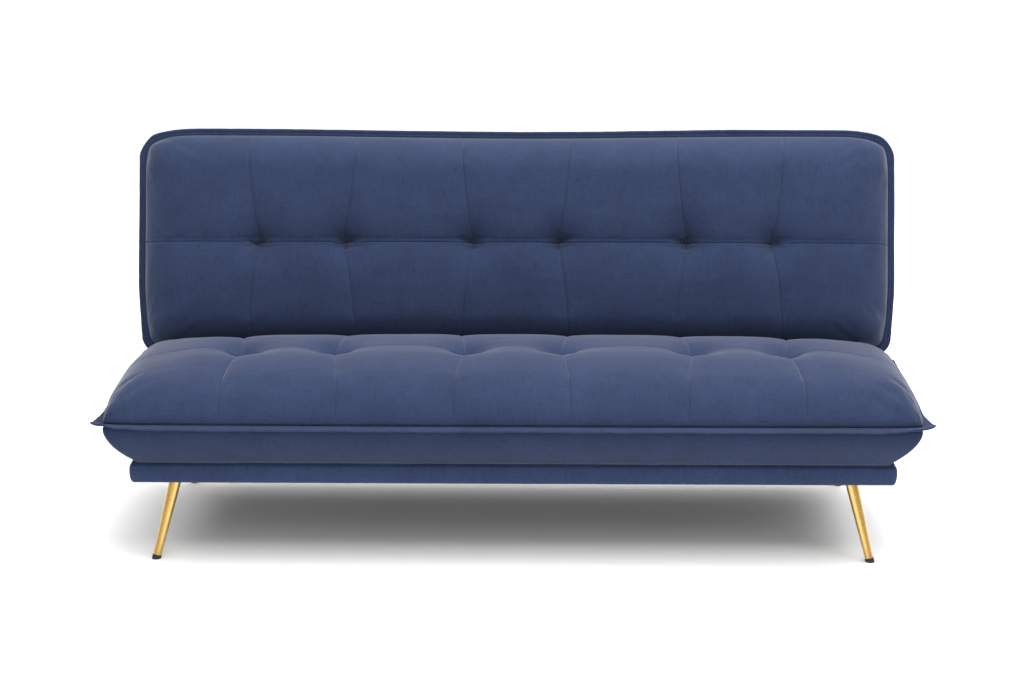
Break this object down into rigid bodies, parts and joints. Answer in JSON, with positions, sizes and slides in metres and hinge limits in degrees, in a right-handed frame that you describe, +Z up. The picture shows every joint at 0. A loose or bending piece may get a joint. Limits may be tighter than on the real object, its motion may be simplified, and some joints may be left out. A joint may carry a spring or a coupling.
{
  "type": "futon sofa bed",
  "caption": "Armless upholstered sofa bed: pillow seat and reclining back on a padded plinth with splayed tapered legs.",
  "frame": {"origin": "centre of the footprint of the sofa with its back upright, on the floor", "axes": "+X along the sofa to a viewer's right, +Y from the seat's front to the back, +Z up"},
  "size_m": [1.8, 0.8034, 0.8534],
  "materials": {
    "seat_fabric": "brushed microfibre",
    "side_fabric": "brushed microfibre",
    "dust_cloth": "black non-woven",
    "felt": "grey needled felt",
    "webbing": "elastic webbing",
    "frame_wood": "planed pine",
    "gold_metal": "satin gold",
    "glide_plastic": "black moulded",
    "plate_steel": "black powder coat",
    "hinge_steel": "dark powder coat",
    "zinc_steel": "bright zinc",
    "spring_steel": "oiled spring wire"
  },
  "bodies": {
    "base": {"dust_cover": "dust_cloth", "hinge_pivot_pin_left": "zinc_steel", "hinge_pivot_pin_right": "zinc_steel", "hinge_seat_arm_left": "hinge_steel", "hinge_seat_arm_right": "hinge_steel", "hinge_seat_screws": "zinc_steel", "leg_front_left": "gold_metal", "leg_front_right": "gold_metal", "leg_glide_front_left": "glide_plastic", "leg_glide_front_right": "glide_plastic", "leg_glide_rear_left": "glide_plastic", "leg_glide_rear_right": "glide_plastic", "leg_plate_front_left": "plate_steel", "leg_plate_front_right": "plate_steel", "leg_plate_rear_left": "plate_steel", "leg_plate_rear_right": "plate_steel", "leg_plate_screws": "zinc_steel", "leg_rear_left": "gold_metal", "leg_rear_right": "gold_metal", "pawl_pin_left": "zinc_steel", "pawl_pin_right": "zinc_steel", "pawl_spring_left": "spring_steel", "pawl_spring_right": "spring_steel", "plinth_corner_blocks": "frame_wood", "plinth_cross_rails": "frame_wood", "plinth_front_rail": "frame_wood", "plinth_left_rail": "frame_wood", "plinth_padding": "side_fabric", "plinth_rear_deck": "side_fabric", "plinth_rear_rail": "frame_wood", "plinth_right_rail": "frame_wood", "seat_border": "side_fabric", "seat_cross_rails": "frame_wood", "seat_cushion": "seat_fabric", "seat_felt": "felt", "seat_flange": "side_fabric", "seat_front_rail": "frame_wood", "seat_left_rail": "frame_wood", "seat_rear_rail": "frame_wood", "seat_right_rail": "frame_wood", "seat_spring_clips": "spring_steel", "seat_springs": "spring_steel", "seat_to_plinth_bolts": "zinc_steel"},
    "backrest": {"back_border": "side_fabric", "back_bottom_rail": "frame_wood", "back_cross_webbing": "webbing", "back_cushion": "seat_fabric", "back_flange": "side_fabric", "back_left_upright": "frame_wood", "back_mid_uprights": "frame_wood", "back_rear_panel": "side_fabric", "back_right_upright": "frame_wood", "back_top_rail": "frame_wood", "back_webbing": "webbing", "hinge_back_arm_left": "hinge_steel", "hinge_back_arm_right": "hinge_steel", "hinge_back_screws": "zinc_steel"},
    "pawl_left": {"pawl_left": "hinge_steel"},
    "pawl_right": {"pawl_right": "hinge_steel"}
  },
  "joints": [
    {"name": "back_recline", "type": "hinge", "parent": "base", "child": "backrest", "pos_m": [0, 0.19325, 0.3335], "axis": [-1, 0, 0], "range_deg": [-4, 75]},
    {"name": "pawl_left_turn", "type": "hinge", "parent": "base", "child": "pawl_left", "pos_m": [-0.774, 0.20605, 0.28095], "axis": [-1, 0, 0], "range_deg": [-6, 0.9], "stiffness_Nm_per_rad": 0.2},
    {"name": "pawl_right_turn", "type": "hinge", "parent": "base", "child": "pawl_right", "pos_m": [0.774, 0.20605, 0.28095], "axis": [-1, 0, 0], "range_deg": [-6, 0.9], "stiffness_Nm_per_rad": 0.2}
  ]
}
